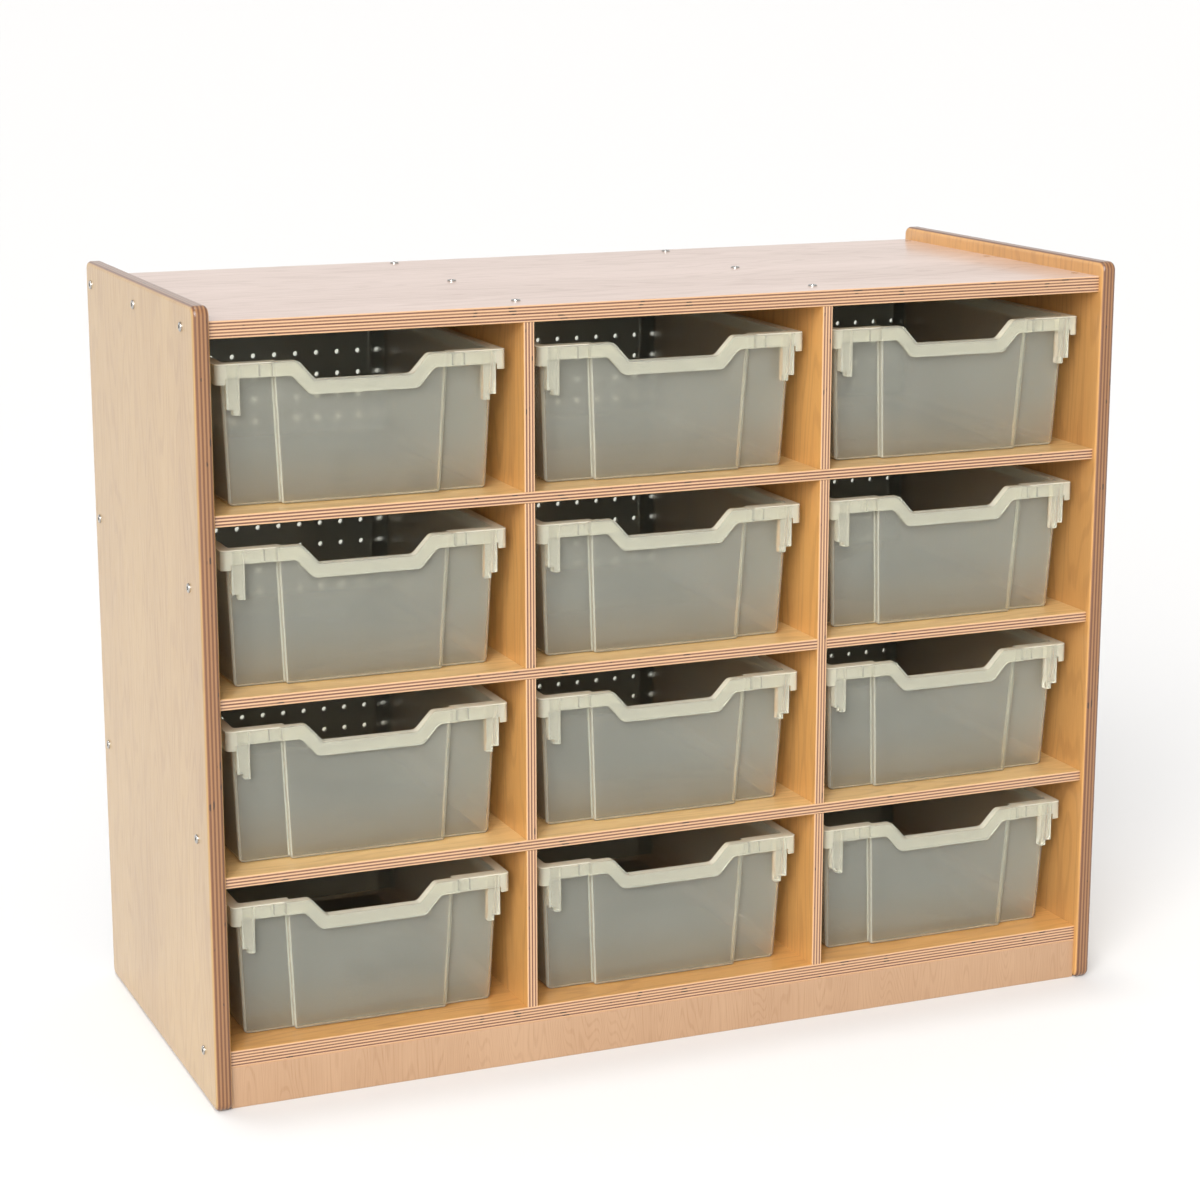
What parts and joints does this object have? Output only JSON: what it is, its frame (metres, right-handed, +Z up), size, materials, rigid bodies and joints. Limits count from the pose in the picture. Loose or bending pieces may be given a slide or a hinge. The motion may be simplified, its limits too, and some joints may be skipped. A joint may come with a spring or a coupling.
{
  "type": "tray cabinet",
  "caption": "Birch plywood classroom cabinet with a recessed top, egg-crate shelves and dividers, a pegboard back and translucent pull-out storage trays with hand dips.",
  "frame": {"origin": "on the floor under the middle of the cabinet", "axes": "+X to the right seen from the front, -Y the front that the trays pull out of, +Z up"},
  "size_m": [1.0704, 0.464, 0.85],
  "materials": {
    "birch_plywood": "clear satin lacquer",
    "hardboard": "dark matt pegboard",
    "plated_steel": "bright plated",
    "polypropylene": "translucent milky natural polypropylene"
  },
  "bodies": {
    "cabinet": {"left_side_panel": "birch_plywood", "right_side_panel": "birch_plywood", "top_panel": "birch_plywood", "bottom_panel": "birch_plywood", "upper_shelf": "birch_plywood", "middle_shelf": "birch_plywood", "lower_shelf": "birch_plywood", "left_divider": "birch_plywood", "right_divider": "birch_plywood", "toe_kick": "birch_plywood", "rear_plinth": "birch_plywood", "pegboard_back": "hardboard", "left_bolts": "plated_steel", "left_link_screws": "plated_steel", "left_barrel_nuts": "plated_steel", "right_bolts": "plated_steel", "right_link_screws": "plated_steel", "right_barrel_nuts": "plated_steel", "top_screws": "plated_steel", "bottom_screws": "plated_steel", "pegboard_screws": "plated_steel"},
    "tray_row1_left": {"tray_row1_left": "polypropylene"},
    "tray_row1_middle": {"tray_row1_middle": "polypropylene"},
    "tray_row1_right": {"tray_row1_right": "polypropylene"},
    "tray_row2_left": {"tray_row2_left": "polypropylene"},
    "tray_row2_middle": {"tray_row2_middle": "polypropylene"},
    "tray_row2_right": {"tray_row2_right": "polypropylene"},
    "tray_row3_left": {"tray_row3_left": "polypropylene"},
    "tray_row3_middle": {"tray_row3_middle": "polypropylene"},
    "tray_row3_right": {"tray_row3_right": "polypropylene"},
    "tray_row4_left": {"tray_row4_left": "polypropylene"},
    "tray_row4_middle": {"tray_row4_middle": "polypropylene"},
    "tray_row4_right": {"tray_row4_right": "polypropylene"}
  },
  "joints": [
    {"name": "tray_row1_left_slide", "type": "slide", "parent": "cabinet", "child": "tray_row1_left", "axis": [0, -1, 0], "range_m": [0, 0.41]},
    {"name": "tray_row1_middle_slide", "type": "slide", "parent": "cabinet", "child": "tray_row1_middle", "axis": [0, -1, 0], "range_m": [0, 0.41]},
    {"name": "tray_row1_right_slide", "type": "slide", "parent": "cabinet", "child": "tray_row1_right", "axis": [0, -1, 0], "range_m": [0, 0.41]},
    {"name": "tray_row2_left_slide", "type": "slide", "parent": "cabinet", "child": "tray_row2_left", "axis": [0, -1, 0], "range_m": [0, 0.41]},
    {"name": "tray_row2_middle_slide", "type": "slide", "parent": "cabinet", "child": "tray_row2_middle", "axis": [0, -1, 0], "range_m": [0, 0.41]},
    {"name": "tray_row2_right_slide", "type": "slide", "parent": "cabinet", "child": "tray_row2_right", "axis": [0, -1, 0], "range_m": [0, 0.41]},
    {"name": "tray_row3_left_slide", "type": "slide", "parent": "cabinet", "child": "tray_row3_left", "axis": [0, -1, 0], "range_m": [0, 0.41]},
    {"name": "tray_row3_middle_slide", "type": "slide", "parent": "cabinet", "child": "tray_row3_middle", "axis": [0, -1, 0], "range_m": [0, 0.41]},
    {"name": "tray_row3_right_slide", "type": "slide", "parent": "cabinet", "child": "tray_row3_right", "axis": [0, -1, 0], "range_m": [0, 0.41]},
    {"name": "tray_row4_left_slide", "type": "slide", "parent": "cabinet", "child": "tray_row4_left", "axis": [0, -1, 0], "range_m": [0, 0.41]},
    {"name": "tray_row4_middle_slide", "type": "slide", "parent": "cabinet", "child": "tray_row4_middle", "axis": [0, -1, 0], "range_m": [0, 0.41]},
    {"name": "tray_row4_right_slide", "type": "slide", "parent": "cabinet", "child": "tray_row4_right", "axis": [0, -1, 0], "range_m": [0, 0.41]}
  ]
}
